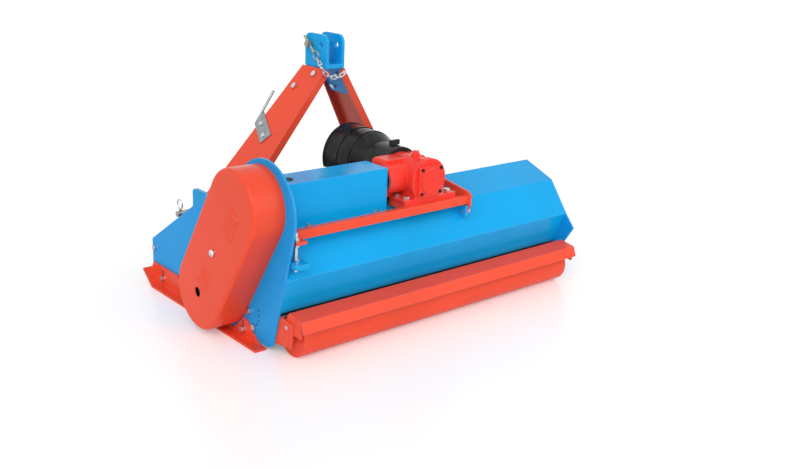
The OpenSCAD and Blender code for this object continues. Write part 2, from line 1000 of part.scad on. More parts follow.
// Values of the gearbox
flange_r = 66;
flange_t = 14;
neck_r = 44;
neck_l = 120;
cap_r = 46;
cap_l = 68;
bearing_r = 36;
bearing_w = 17;
front_wall = 22;
foot_t = 17;
foot_y = 20;
foot_d = 74;
foot_left = 88;
foot_right = 118;
foot_inset_x = 20;
foot_inset_y = 19;
pedestal_side = 48;
plug_y = 70;
plug_side = 9;
small_head_share = 0.5;
block_left = 112;
block_right = 52;
block_half = 56;
block_d = 58;
block_round = 14;
plug_r = 13;
plug_z = drive_z + box_r + 12;
cover_plate_t = 11;
disc_r = 39;
disc_t = 5;
spigot_l = 22;
corner_share = 0.4;
corner_at = box_cover_w * corner_share;
corner_places = [for (x = [-corner_at, corner_at]) for (z = [-corner_at, corner_at]) [x, z]];
foot_places = [
    for (x = [hitch_x - foot_left + foot_inset_x, hitch_x + foot_right - foot_inset_x])
        for (y = [foot_y + foot_inset_y, foot_y + foot_d - foot_inset_y])
            [x, y]
];

// Values of the gears
module_share = 2 / pinion_teeth;
pinion_r = crown_r * pinion_teeth / crown_teeth;
tooth_up = pinion_r * module_share / 2;
tooth_down = tooth_up + clear;
tooth_share = 0.7;
tooth_w = pinion_r * module_share * tooth_share;
crown_face = 14;
crown_disc_t = 11;
crown_hub_r = 28;
crown_hub_t = 10;
journal_r = 8;
crown_out_r = crown_r + crown_face / 2;
crown_y = drive_y + pinion_r + tooth_down;
opening_r = crown_out_r + over;

module foot_drill(z, h) {
    for (p = foot_places)
        translate([p[0], p[1], z])
            cylinder(h = h, r = bolt_d / 2 + bolt_clear);
}
module corner_drill(y, l) {
    for (p = corner_places)
        bar_y(hitch_x + p[0], y, drive_z + p[1], l, bolt_d / 3);
}
module gearbox_casing() {
    color("orangered")
        place()
            difference() {
                union() {
                    bar_y(hitch_x, box_rear_y, drive_z, box_front_y - box_rear_y, box_r);
                    bar_y(hitch_x, box_rear_y, drive_z, flange_t, flange_r);
                    bar_x(hitch_x - neck_l, neck_l, drive_axis, neck_r);
                    bar_x(hitch_x, cap_l, drive_axis, cap_r);
                    translate([hitch_x - block_left, box_front_y, drive_z - block_half])
                        rotate([90, 0, 0])
                            linear_extrude(block_d)
                                round_rect(block_left + block_right, 2 * block_half, block_round);
                    translate([hitch_x - foot_left, foot_y, cradle_z])
                        cube([foot_left + foot_right, foot_d, foot_t]);
                    translate([hitch_x - pedestal_side, foot_y, cradle_z])
                        cube([2 * pedestal_side, foot_d, drive_z - cradle_z - bearing_r]);
                    translate([hitch_x - plug_side, plug_y, drive_z])
                        cylinder(h = plug_z - drive_z, r = plug_r);
                }
                bar_y(hitch_x, box_rear_y + spigot_l, drive_z,
                    box_front_y - box_rear_y - spigot_l - front_wall, box_r - box_wall);
                bar_y(hitch_x, box_rear_y - over, drive_z, spigot_l + 2 * over, opening_r);
                bar_y(hitch_x, box_front_y - front_wall - over, drive_z, front_wall + 2 * over, bearing_r);
                bar_x(hitch_x - neck_l - over, neck_l, drive_axis, bearing_r);
                foot_drill(cradle_z - over, foot_t + 2 * over);
                corner_drill(box_rear_y - over, flange_t - over);
            }
}
module gearbox_rear_cover() {
    color("orangered")
        place()
            difference() {
                union() {
                    translate([hitch_x - box_cover_w / 2, box_rear_y, drive_z - box_cover_w / 2])
                        rotate([90, 0, 0])
                            linear_extrude(cover_plate_t)
                                round_rect(box_cover_w, box_cover_w, plug_side);
                    bar_y(hitch_x, box_rear_y - cover_plate_t - disc_t, drive_z, disc_t + over, disc_r);
                    bar_y(hitch_x, box_rear_y - over, drive_z, spigot_l + over, opening_r - clear);
                }
                bar_y(hitch_x, box_rear_y, drive_z, spigot_l + over, bearing_r);
                corner_drill(box_rear_y - cover_plate_t - over, cover_plate_t + 2 * over);
            }
}
module bearing_ring(l, r_in, r_out) {
    difference() {
        cylinder(h = l, r = r_out - run);
        translate([0, 0, -over])
            cylinder(h = l + 2 * over, r = r_in + run);
    }
}
neck_bearing_at = [neck_l - bearing_w, 52];
module gearbox_bearings() {
    color("lightgrey")
        place() {
            for (y = [box_rear_y + disc_t / 2, box_front_y - bearing_w - disc_t / 2])
                translate([hitch_x, y, drive_z])
                    rotate([-90, 0, 0])
                        bearing_ring(bearing_w, pto_d / 2, bearing_r);
            for (x = neck_bearing_at)
                translate([hitch_x - x, drive_y, drive_z])
                    rotate([0, -90, 0])
                        bearing_ring(bearing_w, drive_d / 2, bearing_r);
        }
}
module gearbox_bolts() {
    color("silver")
        place() {
            for (p = corner_places)
                translate([hitch_x + p[0], box_rear_y - cover_plate_t, drive_z + p[1]])
                    rotate([90, 0, 0]) {
                        cylinder(h = head_h * small_head_share, d = head_d * small_head_share, $fn = 6);
                        translate([0, 0, -cover_plate_t])
                            cylinder(h = cover_plate_t + over, d = bolt_d / 2);
                    }
            for (p = foot_places)
                translate([p[0], p[1], cradle_z]) {
                    translate([0, 0, foot_t])
                        cylinder(h = head_h, d = head_d, $fn = 6);
                    translate([0, 0, -cradle_base_t])
                        cylinder(h = cradle_base_t + foot_t + over, d = bolt_d);
                }
            translate([hitch_x - plug_side, plug_y, plug_z])
                cylinder(h = head_h, d = head_d, $fn = 6);
        }
}

// Values of the cradle outline
cradle_base_t = 12;
cradle_base_d = 88;
tab_t = 8;
tab_reach = 36;
gusset_top = 29;
gusset_front = 112;
gusset_step = 13;
gusset_foot = 14;
module gusset_outline() {
    polygon([
        [cradle_y - gusset_t, cradle_z - cradle_bar_h - gusset_t / 2],
        [cradle_y - gusset_t, cradle_z + gusset_t / 2],
        [cradle_y + gusset_t, cradle_z + gusset_step],
        [cradle_y + gusset_front, cradle_z + gusset_top],
        [cradle_y + gusset_front, top_z(cradle_y + gusset_front) + gusset_t],
        [hood_knee_y - sheet_t, hood_knee_z + sheet_t],
        [gusset_bolt[0] + gusset_foot, gusset_bolt[1] - gusset_foot],
        [gusset_bolt[0] - gusset_foot / 4, gusset_bolt[1] - gusset_foot]
    ]);
}
module gearbox_cradle() {
    left = -half_w + cradle_left;
    low = cradle_z - cradle_bar_h;
    color("orangered")
        place()
            difference() {
                union() {
                    translate([left, cradle_y, low])
                        cube([gusset_x - left, cradle_bar_d, cradle_bar_h]);
                    translate([hitch_x - foot_left, cradle_y, cradle_z - cradle_base_t])
                        cube([foot_left + foot_right, cradle_base_d, cradle_base_t]);
                    yz(gusset_x, gusset_t)
                        gusset_outline();
                    translate([left, adjuster_y - tab_reach / 2, low])
                        cube([adjuster_w - tab_t, cradle_y - adjuster_y + tab_reach / 2 + over, tab_t]);
                }
                foot_drill(cradle_z - cradle_base_t - over, cradle_base_t + 2 * over);
                translate([adjuster_x, adjuster_y, low - over])
                    cylinder(h = tab_t + 2 * over, d = adjuster_d + 2 * bolt_clear);
                bar_x(gusset_x - over, gusset_t + 2 * over, gusset_bolt, bolt_d / 2 + bolt_clear);
            }
}
module cradle_adjuster() {
    low = cradle_z - cradle_bar_h;
    rod_low = adjuster_z - 2 * head_h;
    color("silver")
        place() {
            translate([adjuster_x, adjuster_y, 0]) {
                translate([0, 0, rod_low])
                    cylinder(h = low + tab_t + 3 * head_h - rod_low, d = adjuster_d);
                for (z = [low + tab_t, low - head_h, adjuster_z + adjuster_h, adjuster_z - head_h])
                    translate([0, 0, z])
                        cylinder(h = head_h, d = head_d, $fn = 6);
            }
            hex_x(gusset_x + gusset_t, head_h, gusset_bolt);
            bar_x(gusset_x - gusset_t, 2 * gusset_t + over, gusset_bolt, bolt_d / 2);
        }
}
module shaft_cover() {
    low = drive_z - shaft_cover_down;
    top = drive_z + shaft_cover_up;
    front = drive_y + shaft_cover_front;
    color("deepskyblue")
        place()
            difference() {
                yz(-half_w, shaft_cover_right + half_w)
                    polygon(strip([
                        [shaft_cover_y, low],
                        [shaft_cover_y, top],
                        [front, top],
                        [front, top_z(front) + 2 * shaft_cover_t]
                    ], shaft_cover_t));
                for (x = cover_bolt_x)
                    bar_y(x, shaft_cover_y - over, cover_bolt_z, shaft_cover_t + 2 * over,
                        cover_bolt_d / 2 + bolt_clear);
            }
}

// Values of the shaft shield
shield_open = 30;
shield_wall_t = 4;
wing_w = 36;
wing_h = 16;
rib_shares = [0.14, 0.56, 1];
rib_t = 2;
rib_w = 9;
shield_neck_share = 0.34;
shield_shoulder_share = 0.5;
shoulder_share = 0.76;
// Half section of the shield, radius against distance ahead of the gearbox
module shield_section() {
    l = shield_mouth_y - box_front_y;
    neck = l * shield_neck_share;
    shoulder = l * shield_shoulder_share;
    shoulder_r = along(shield_rear_r, shield_mouth_r, shoulder_share);
    polygon([
        [bearing_r - shield_t, 0],
        [shield_rear_r, 0],
        [shield_rear_r, neck],
        [shoulder_r, shoulder],
        [shield_mouth_r, l],
        [shield_mouth_r - shield_t, l],
        [shoulder_r - shield_t, shoulder + shield_t / 2],
        [shield_rear_r - shield_t, neck + shield_t / 2],
        [shield_rear_r - shield_t, shield_wall_t],
        [bearing_r - shield_t, shield_wall_t]
    ]);
    for (s = rib_shares) {
        r = along(shoulder_r, shield_mouth_r, s);
        translate([r - shield_t / 2, along(shoulder, l, s) - rib_w])
            square([shield_t / 2 + rib_t, rib_w]);
    }
}
module pto_shield() {
    wide = 2 * shield_mouth_r + 2 * over;
    color("#202020")
        place()
            difference() {
                union() {
                    translate([hitch_x, box_front_y, drive_z])
                        rotate([-90, 0, 0])
                            rotate_extrude()
                                shield_section();
                    translate([hitch_x - wing_w / 4, box_front_y + wing_w, drive_z + shield_rear_r - shield_t / 2])
                        cube([wing_w, rib_w, wing_h]);
                }
                translate([hitch_x - wide / 2, box_front_y - over, drive_z - shield_open - wide])
                    cube([wide, shield_mouth_y, wide]);
            }
}
spline_count = 6;
spline_w_share = 0.5;
module input_shaft() {
    y = box_rear_y + disc_t / 2;
    front = box_front_y + pto_l;
    groove = pto_d * (1 - spline_w_share) / 2;
    color("silver")
        place()
            difference() {
                bar_y(hitch_x, y, drive_z, front - y, pto_d / 2);
                for (i = [0 : spline_count - 1])
                    translate([hitch_x, box_front_y + disc_t * 2, drive_z])
                        rotate([0, i * 360 / spline_count, 0])
                            translate([pto_d / 2 - groove / 4, 0, -groove / 2])
                                cube([groove, pto_l, groove]);
            }
}
module crown_gear() {
    color("grey")
        place()
            difference() {
                union() {
                    bar_y(hitch_x, crown_y, drive_z, crown_disc_t, crown_out_r);
                    bar_y(hitch_x, crown_y, drive_z, crown_disc_t + crown_hub_t, crown_hub_r);
                    for (i = [0 : crown_teeth - 1])
                        translate([hitch_x, crown_y, drive_z])
                            rotate([0, i * 360 / crown_teeth, 0])
                                translate([-crown_out_r, -tooth_up - tooth_down, -tooth_w / 2])
                                    cube([crown_face, tooth_up + tooth_down + over, tooth_w]);
                }
                bar_y(hitch_x, crown_y - pinion_r, drive_z, 4 * crown_disc_t, pto_d / 2 + run);
            }
}
pinion_x = hitch_x - crown_out_r - clear;
module pinion() {
    root = pinion_r - tooth_down;
    color("grey")
        place()
            yz(pinion_x, crown_face)
                translate(drive_axis)
                    difference() {
                        union() {
                            circle(root);
                            for (i = [0 : pinion_teeth - 1])
                                rotate((i + 0.5) * 360 / pinion_teeth)
                                    translate([0, -tooth_w / 2])
                                        square([pinion_r + tooth_up, tooth_w]);
                        }
                        circle(journal_r + run);
                    }
}

// Values of the flange bearings and pulleys
flange_bearing_t = 24;
flange_bearing_r = 52;
pulley_gap = 3;
pulley_x = -plate_x - flange_bearing_t - pulley_gap - pulley_w;
shaft_tail = 4;
module output_shaft() {
    left = pulley_x - shaft_tail;
    color("silver")
        place()
            union() {
                bar_x(left, pinion_x - left, drive_axis, drive_d / 2);
                bar_x(left, pinion_x - left + crown_face, drive_axis, journal_r);
            }
}
module flange_bearing(c, r) {
    yz(plate_x, flange_bearing_t)
        difference() {
            translate(c)
                circle(flange_bearing_r);
            translate(c)
                circle(r + run);
        }
}
module shaft_bearing() {
    color("dimgrey")
        place()
            mirror([1, 0, 0])
                flange_bearing(drive_axis, drive_d / 2);
}
function belt_x(i) = pulley_x + pulley_w * (i + 0.5) / belt_count - belt_w / 2;
module pulley(c, r, bore) {
    difference() {
        bar_x(pulley_x, pulley_w, c, r);
        bar_x(pulley_x - over, pulley_w + 2 * over, c, bore + run);
        for (i = [0 : belt_count - 1])
            yz(belt_x(i) - clear, belt_w + 2 * clear)
                translate(c)
                    difference() {
                        circle(r + over);
                        circle(r - belt_h - clear);
                    }
    }
}
module drive_pulley() {
    color("dimgrey")
        place()
            pulley(drive_axis, drive_pulley_r, drive_d / 2);
}
module driven_pulley() {
    color("dimgrey")
        place()
            pulley(rotor_axis, driven_pulley_r, stub_d / 2);
}
module v_belts() {
    color("#282828")
        place()
            for (i = [0 : belt_count - 1])
                yz(belt_x(i), belt_w)
                    difference() {
                        loop_area(drive_axis, drive_pulley_r, rotor_axis, driven_pulley_r);
                        loop_area(drive_axis, drive_pulley_r - belt_h, rotor_axis, driven_pulley_r - belt_h);
                    }
}

// Values of the belt cover's openings
case_back = 14;
louvre_h = 5;
louvre_pitch = 11;
louvre_w = 57;
lower_louvre = [248, 184];
lower_louvre_n = 6;
upper_louvre = [103, 381];
upper_louvre_n = 8;
sight_r = 15;
cover_nut_share = 0.48;
cover_head_share = 0.7;
nut_dome_share = 1.2;
cover_nut_place = along(rotor_axis, drive_axis, cover_nut_share);
module edge_profile(r, d, e) {
    square([r, d - e]);
    square([r - e, d]);
    translate([r - e, d - e])
        circle(e);
}
// Round-ended case on the outer face of a plate, with its mouth at the plate
module case_solid(r, d, e) {
    l = norm(drive_axis - rotor_axis) - case_back;
    rotate([0, 0, 90])
        rotate_extrude(angle = 180)
            edge_profile(r, d, e);
    translate([l, 0, 0])
        rotate([0, 0, -90])
            rotate_extrude(angle = 180)
                edge_profile(r, d, e);
    rotate([90, 0, 90])
        linear_extrude(l) {
            edge_profile(r, d, e);
            mirror([1, 0])
                edge_profile(r, d, e);
        }
}
module louvres(c, n) {
    translate(c)
        rotate(heading(rotor_axis, drive_axis) - 90)
            for (i = [0 : n - 1])
                translate([-louvre_w / 2, (i - (n - 1) / 2) * louvre_pitch - louvre_h / 2])
                    square([louvre_w, louvre_h]);
}
module belt_cover() {
    color("orangered")
        place()
            mirror([1, 0, 0])
                difference() {
                    translate([plate_x, rotor_y, rotor_z])
                        rotate([90, 0, 90])
                            rotate([0, 0, heading(rotor_axis, drive_axis)])
                                difference() {
                                    case_solid(cover_r, cover_d, cover_round);
                                    translate([0, 0, -over])
                                        case_solid(cover_r - cover_t, cover_d - cover_t + over,
                                            cover_round - cover_t);
                                }
                    yz(plate_x + cover_d - 2 * cover_t, 3 * cover_t) {
                        louvres(lower_louvre, lower_louvre_n);
                        louvres(upper_louvre, upper_louvre_n);
                        translate(rotor_axis)
                            circle(sight_r);
                        translate(cover_nut_place)
                            circle(bolt_d / 2 + bolt_clear);
                    }
                }
}
module cover_bolts() {
    face = -plate_x - cover_d;
    color("silver")
        place() {
            for (x = cover_bolt_x) {
                translate([x, shaft_cover_y, cover_bolt_z])
                    rotate([90, 0, 0])
                        cylinder(h = cover_bolt_d * cover_head_share, d = cover_head_d, $fn = 6);
                bar_y(x, shaft_cover_y - over, cover_bolt_z, shaft_cover_t + lug_d, cover_bolt_d / 2);
            }
            bar_x(face, cover_d, cover_nut_place, bolt_d / 2);
            translate([face, cover_nut_place[0], cover_nut_place[1]])
                rotate([0, -90, 0])
                    intersection() {
                        cylinder(h = nut_h, r = nut_r);
                        translate([0, 0, nut_h - nut_r * nut_dome_share])
                            sphere(nut_r * nut_dome_share);
                    }
        }
}

// Values of the rotor and its flails
rotor_end_gap = 12;
rotor_disc_t = 20;
lug_plate_t = 8;
lug_half = 12;
lug_neck_half = 10;
bearing_cap_share = 0.8;
flail_gap = 0.4;
flail_side = 60;
flail_hub_r = 10;
flail_lip = 11;
flail_row_angles = [45, 225, 135, 315];
flail_count = 12;
function flail_x(i) = along(-half_w + flail_side, half_w - flail_side, i / (flail_count - 1));
function flail_pin(i) = polar(rotor_axis, flail_pin_r, flail_row_angles[i % 4]);
module lug_outline(i) {
    translate(rotor_axis)
        rotate(flail_row_angles[i % 4])
            translate([rotor_r - rotor_wall / 2, -lug_neck_half])
                square([flail_pin_r - rotor_r + rotor_wall / 2, 2 * lug_neck_half]);
    translate(flail_pin(i))
        circle(lug_half);
}
module rotor() {
    end = half_w - rotor_end_gap;
    left = pulley_x - shaft_tail;
    right = plate_x + flange_bearing_t;
    color("#303438")
        place()
            difference() {
                union() {
                    bar_x(-end, 2 * end, rotor_axis, rotor_r);
                    bar_x(left, right - left, rotor_axis, stub_d / 2);
                    for (i = [0 : flail_count - 1])
                        for (s = [-1, 1])
                            yz(flail_x(i) + s * (flail_w + lug_plate_t + 2 * flail_gap) / 2 - lug_plate_t / 2,
                                lug_plate_t)
                                difference() {
                                    lug_outline(i);
                                    translate(flail_pin(i))
                                        circle(flail_bolt_d / 2 + bolt_clear);
                                }
                }
                bar_x(-end + rotor_disc_t, 2 * (end - rotor_disc_t), rotor_axis, rotor_r - rotor_wall);
            }
}
module rotor_bearings() {
    color("dimgrey")
        place() {
            both_sides()
                flange_bearing(rotor_axis, stub_d / 2);
            bar_x(plate_x + flange_bearing_t, cover_t, rotor_axis, flange_bearing_r * bearing_cap_share);
        }
}
module flail_bolts() {
    half = flail_w / 2 + flail_gap + lug_plate_t;
    color("silver")
        place()
            for (i = [0 : flail_count - 1]) {
                bar_x(flail_x(i) - half - over, 2 * half + 2 * over, flail_pin(i), flail_bolt_d / 2);
                for (x = [-half - head_h, half])
                    hex_x(flail_x(i) + x, head_h, flail_pin(i));
            }
}
module flail(i) {
    p = flail_pin(i);
    color("dimgrey")
        place()
            yz(flail_x(i) - flail_w / 2, flail_w)
                difference() {
                    union() {
                        translate(p)
                            circle(flail_hub_r);
                        translate([p[0] - flail_t / 2, p[1] - flail_l])
                            square([flail_t, flail_l]);
                        polygon([
                            [p[0] - flail_t / 2, p[1] - flail_l],
                            [p[0] + flail_t / 2, p[1] - flail_l],
                            [p[0] + flail_lip, p[1] - flail_l + flail_t],
                            [p[0], p[1] - flail_hub_r],
                            [p[0] - flail_lip, p[1] - flail_l + flail_t]
                        ]);
                    }
                    translate(p)
                        circle(flail_bolt_d / 2 + 2 * run);
                }
}

// Values of the roller and its frame
roller_wall = 5;
roller_disc_t = 12;
axle_gap = 0.6;
bush_wall = 5;
bush_flange = 6;
pivot_boss_r = 27;
arm_top_front = 29;
arm_top_z = 119;
arm_rear_y = -40;
arm_rear_z = 112;
arm_low_rear = [-30, 41];
arm_low_front = [53, 30];
slot_edge = 15;
cover_bolt_place = [-10, 96];
tab_front = 4;
tab_low = 80;
arm_face = half_w - arm_gap - roller_arm_t;
roller_axis = [0, roller_r];
module roller() {
    end = half_w - roller_end_gap;
    axle = half_w - axle_gap;
    color("orangered")
        place()
            difference() {
                union() {
                    bar_x(-end, 2 * end, roller_axis, roller_r);
                    bar_x(-axle, 2 * axle, roller_axis, roller_axle_d / 2);
                }
                bar_x(-end + roller_disc_t, 2 * (end - roller_disc_t), roller_axis, roller_r - roller_wall);
            }
}
lock_steps = 8;
module lock_slot() {
    yz(arm_face - over, roller_arm_t + 2 * over)
        for (i = [0 : lock_steps])
            translate(polar(pivot, quadrant_r, lock_angle - i * (roller_lift + 1) / lock_steps + 0.5))
                circle(bolt_d / 2 + clear);
}
module roller_arm() {
    bush_r = roller_axle_d / 2 + bush_wall;
    toe_low = polar(pivot, quadrant_r + slot_edge, lock_angle + slot_edge);
    difference() {
        yz(arm_face, roller_arm_t)
            difference() {
                union() {
                    translate(pivot)
                        circle(pivot_boss_r);
                    polygon([
                        [arm_top_front, arm_top_z],
                        [arm_rear_y, arm_rear_z],
                        arm_low_rear,
                        arm_low_front,
                        toe_low,
                        [pivot_y + pivot_boss_r, pivot_z],
                        [pivot_y, pivot_z + pivot_boss_r]
                    ]);
                }
                translate(pivot)
                    circle(bolt_d / 2 + 2 * run);
                translate(roller_axis)
                    circle(bush_r + run);
                translate(cover_bolt_place)
                    circle(bolt_d / 2 + bolt_clear);
            }
        lock_slot();
    }
}
module roller_arms() {
    color("orangered")
        place()
            both_sides()
                roller_arm();
}
module roller_bushes() {
    color("tan")
        place()
            both_sides()
                yz(arm_face - bush_flange, bush_flange + roller_arm_t)
                    translate(roller_axis)
                        difference() {
                            circle(roller_axle_d / 2 + bush_wall);
                            circle(roller_axle_d / 2 + run);
                        }
}
module roller_cover() {
    tab_t2 = 2 * roller_cover_t;
    color("orangered")
        place()
            union() {
                yz(-arm_face, 2 * arm_face)
                    polygon(strip([
                        [-roller_cover_lip, roller_cover_low],
                        [-roller_cover_rear, roller_cover_fold],
                        [-roller_cover_front, roller_cover_top]
                    ], roller_cover_t));
                both_sides()
                    yz(arm_face - tab_t2, tab_t2)
                        difference() {
                            polygon([
                                [-roller_cover_rear + roller_cover_t, tab_low],
                                [-roller_cover_rear + roller_cover_t, roller_cover_fold - roller_cover_t / 2],
                                [-roller_cover_front, roller_cover_top - roller_cover_t / 2],
                                [tab_front, cover_bolt_place[1] + bolt_d],
                                [tab_front, cover_bolt_place[1] - bolt_d]
                            ]);
                            translate(cover_bolt_place)
                                circle(bolt_d / 2 + bolt_clear);
                        }
            }
}
module roller_bolts() {
    inner = arm_face - clear;
    color("silver")
        place()
            both_sides()
                for (p = [pivot, lock_place]) {
                    hex_x(plate_x, head_h, p);
                    bar_x(inner, plate_x - inner + over, p, bolt_d / 2);
                    hex_x(inner - head_h, head_h, p);
                }
}
module roller_cover_bolts() {
    inner = arm_face - 2 * roller_cover_t;
    color("silver")
        place()
            both_sides() {
                hex_x(inner - head_h, head_h, cover_bolt_place);
                bar_x(inner - over, 2 * roller_cover_t + roller_arm_t + over, cover_bolt_place, bolt_d / 2);
            }
}

module skid() {
    inner = plate_x + clear;
    difference() {
        union() {
            yz(inner, skid_t)
                polygon(concat(
                    [[skid_heel_y, 0]],
                    backwards(skid_lobe),
                    [
                        [skid_strip_y, skid_strip_z],
                        [skid_crown_y - skid_front_z, skid_strip_z],
                        [skid_crown_y, skid_front_z],
                        [plate_front_y - skid_strip_z, skid_front_z],
                        [plate_front_y, skid_tip_z],
                        [skid_sole_y, 0]
                    ]
                ));
            yz(inner, skid_w - clear)
                polygon(strip([
                    [plate_front_y, skid_tip_z],
                    [skid_sole_y, 0],
                    [skid_heel_y, 0]
                ], skid_t));
        }
        yz(inner - over, skid_t + 2 * over)
            for (i = [0, 1])
                translate([skid_bolt_y[i], skid_bolt_z[i]]) {
                    circle(bolt_d / 2 + clear);
                    translate([0, skid_drop])
                        circle(bolt_d / 2 + clear);
                    translate([-bolt_d / 2 - clear, 0])
                        square([bolt_d + 2 * clear, skid_drop]);
                }
    }
}
module skid_right() {
    color("orangered")
        place()
            skid();
}
module skid_left() {
    color("orangered")
        place()
            mirror([1, 0, 0])
                skid();
}
module skid_bolts() {
    outer = plate_x + 2 * clear + skid_t;
    color("silver")
        place()
            both_sides()
                for (i = [0, 1]) {
                    p = [skid_bolt_y[i], skid_bolt_z[i]];
                    hex_x(outer, head_h, p);
                    bar_x(half_w, outer - half_w + over, p, bolt_d / 2);
                    hex_x(half_w - head_h, head_h + over / 100, p);
                }
}

// Values of the front flaps
flap_t = 5;
flap_gap = 4;
knuckle_wall = 5;
flap_nut_share = 0.8;
flap_place = [flap_rod_y, flap_rod_z];
module flap_rod() {
    color("silver")
        place() {
            bar_x(-plate_x - head_h, 2 * (plate_x + head_h), flap_place, flap_rod_d / 2);
            both_sides()
                hex_x(plate_x, head_h * flap_nut_share, flap_place);
        }
}
module front_flaps() {
    pitch = (hood_w - flap_gap) / flap_count;
    color("#303438")
        place()
            for (i = [0 : flap_count - 1])
                yz(-half_w + flap_gap + i * pitch, pitch - flap_gap)
                    difference() {
                        union() {
                            translate(flap_place)
                                circle(flap_rod_d / 2 + clear + knuckle_wall);
                            translate(flap_place - [flap_t / 2, flap_l])
                                square([flap_t, flap_l]);
                        }
                        translate(flap_place)
                            circle(flap_rod_d / 2 + clear);
                    }
}

hood_shell();
side_plate_left();
side_plate_right();
front_beam();
hitch_brackets();
mast_arm_left();
mast_arm_right();
top_link_clevis();
top_link_pin();
top_linch_pin();
retaining_chain();
driveline_hook();
mast_bolts();
lower_hitch_pins();
linch_pin_left();
linch_pin_right();
gearbox_casing();
gearbox_rear_cover();
gearbox_bearings();
gearbox_bolts();
gearbox_cradle();
cradle_adjuster();
shaft_cover();
pto_shield();
input_shaft();
crown_gear();
output_shaft();
pinion();
shaft_bearing();
drive_pulley();
driven_pulley();
v_belts();
belt_cover();
cover_bolts();
rotor();
rotor_bearings();
flail_bolts();
flail(0);  // flail_01
flail(1);  // flail_02
flail(2);  // flail_03
flail(3);  // flail_04
flail(4);  // flail_05
flail(5);  // flail_06
flail(6);  // flail_07
flail(7);  // flail_08
flail(8);  // flail_09
flail(9);  // flail_10
flail(10);  // flail_11
flail(11);  // flail_12
flap_rod();
front_flaps();
roller();
roller_arms();
roller_cover();
roller_bushes();
roller_bolts();
roller_cover_bolts();
skid_left();
skid_right();
skid_bolts();
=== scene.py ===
"""Looks of the flail mower: finishes for the CAD nodes, small extra pieces, light and camera."""

import json
import math

import bmesh
import bpy
from mathutils import Matrix, Vector


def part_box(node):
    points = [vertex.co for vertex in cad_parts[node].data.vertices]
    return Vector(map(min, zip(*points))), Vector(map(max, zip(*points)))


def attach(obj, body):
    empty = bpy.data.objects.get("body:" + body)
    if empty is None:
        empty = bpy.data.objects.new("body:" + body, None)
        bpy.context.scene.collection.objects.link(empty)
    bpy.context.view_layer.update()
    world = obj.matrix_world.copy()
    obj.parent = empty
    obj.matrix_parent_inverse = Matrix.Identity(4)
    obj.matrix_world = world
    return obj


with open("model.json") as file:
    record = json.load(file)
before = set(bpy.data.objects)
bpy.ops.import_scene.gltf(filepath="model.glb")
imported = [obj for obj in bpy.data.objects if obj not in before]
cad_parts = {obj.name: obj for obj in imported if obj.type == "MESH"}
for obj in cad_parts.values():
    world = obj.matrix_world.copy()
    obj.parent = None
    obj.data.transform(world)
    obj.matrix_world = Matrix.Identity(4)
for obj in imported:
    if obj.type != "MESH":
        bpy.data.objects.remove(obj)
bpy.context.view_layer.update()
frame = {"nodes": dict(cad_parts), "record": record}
NODES = frame["nodes"]
MM = 0.001

# Photograph's camera, in metres and degrees, in the shared frame
IMAGE_W = 800
FOCAL_PX = 959.5
SENSOR_MM = 36.0
CAMERA_AT = Vector((-1.9117, -2.3799, 1.1642))
YAW = math.radians(41.6)
PITCH = math.radians(18.1)
ROLL = math.radians(-2.5)

# Paint and metal colours, linear
RED = (0.87, 0.080, 0.034)
RED_CAST = (0.88, 0.046, 0.030)
BLUE = (0.003, 0.378, 0.80)
BLUE_DEEP = (0.005, 0.340, 0.80)
ZINC = (0.66, 0.67, 0.68)
STEEL = (0.60, 0.60, 0.61)
CAST = (0.20, 0.205, 0.215)
DARK = (0.075, 0.076, 0.080)
DULL_ZINC = (0.34, 0.37, 0.38)
WARM_ZINC = (0.46, 0.40, 0.32)
BLACK_STEEL = (0.022, 0.022, 0.024)
BLACK = (0.006, 0.006, 0.006)
RUBBER = (0.016, 0.016, 0.016)
BRASS = (0.62, 0.43, 0.17)
WHITE = (1.0, 1.0, 1.0)
PALE = (0.93, 0.93, 0.93)

# Studio light: where each sun stands, its strength and its spread in degrees
KEY_FROM = (-0.74, -0.58, 0.68)
KEY_STRENGTH = 1.38
KEY_SPREAD = 45.0
FILL_FROM = (0.25, -0.95, 0.32)
FILL_STRENGTH = 0.86
FILL_SPREAD = 60.0
AMBIENT = 0.54
FLOOR_LIFT = 0.21
FLOOR_ROUGH = 0.30
FLOOR_REACH = 60.0

# Heights that part the gearbox bolts, in metres
FOOT_BOLT_TOP = 0.3875
PLUG_BASE = 0.503
STEP = 0.0005

# Louvres of the belt cover, in millimetres: their slots lie square to the line from rotor to drive shaft
DRIVE_FROM_ROTOR = (-194, 303)
LOUVRE_TILT = math.atan2(DRIVE_FROM_ROTOR[1], DRIVE_FROM_ROTOR[0]) - math.pi / 2
LOWER_LOUVRES_AT = (-125, 184)
LOWER_LOUVRES = 6
UPPER_LOUVRES_AT = (-270, 381)
UPPER_LOUVRES = 8
LOUVRE_W = 57.0
LOUVRE_END = 2.5
LOUVRE_PITCH = 11.0
HOOD_TOP = 3.8
HOOD_L = 7.4
HOOD_DEPTH = 3.6
HOOD_SEAT = 0.3
HOOD_WALL = 1.0
HOOD_STEPS = 5
HOOD_COLUMNS = 20

# Plug of the shaft cover, in millimetres: its place, and its section as radius and height
PLUG_AT = (-456.0, -268.0)
PLUG_SECTION = [
    (0, 0.5),
    (7.5, 0.6),
    (9.0, 1.2),
    (9.8, 2.6),
    (11.4, 3.5),
    (13.2, 3.0),
    (14.2, 1.4),
    (14.4, 0.0),
]


def shade(colour, factor):
    """The colour made lighter or darker, with its alpha."""
    return tuple(min(1.0, c * factor) for c in colour) + (1.0,)


def toward(colour, other, share):
    """The colour part of the way to another, with its alpha."""
    return tuple(a + (b - a) * share for a, b in zip(colour, other)) + (1.0,)


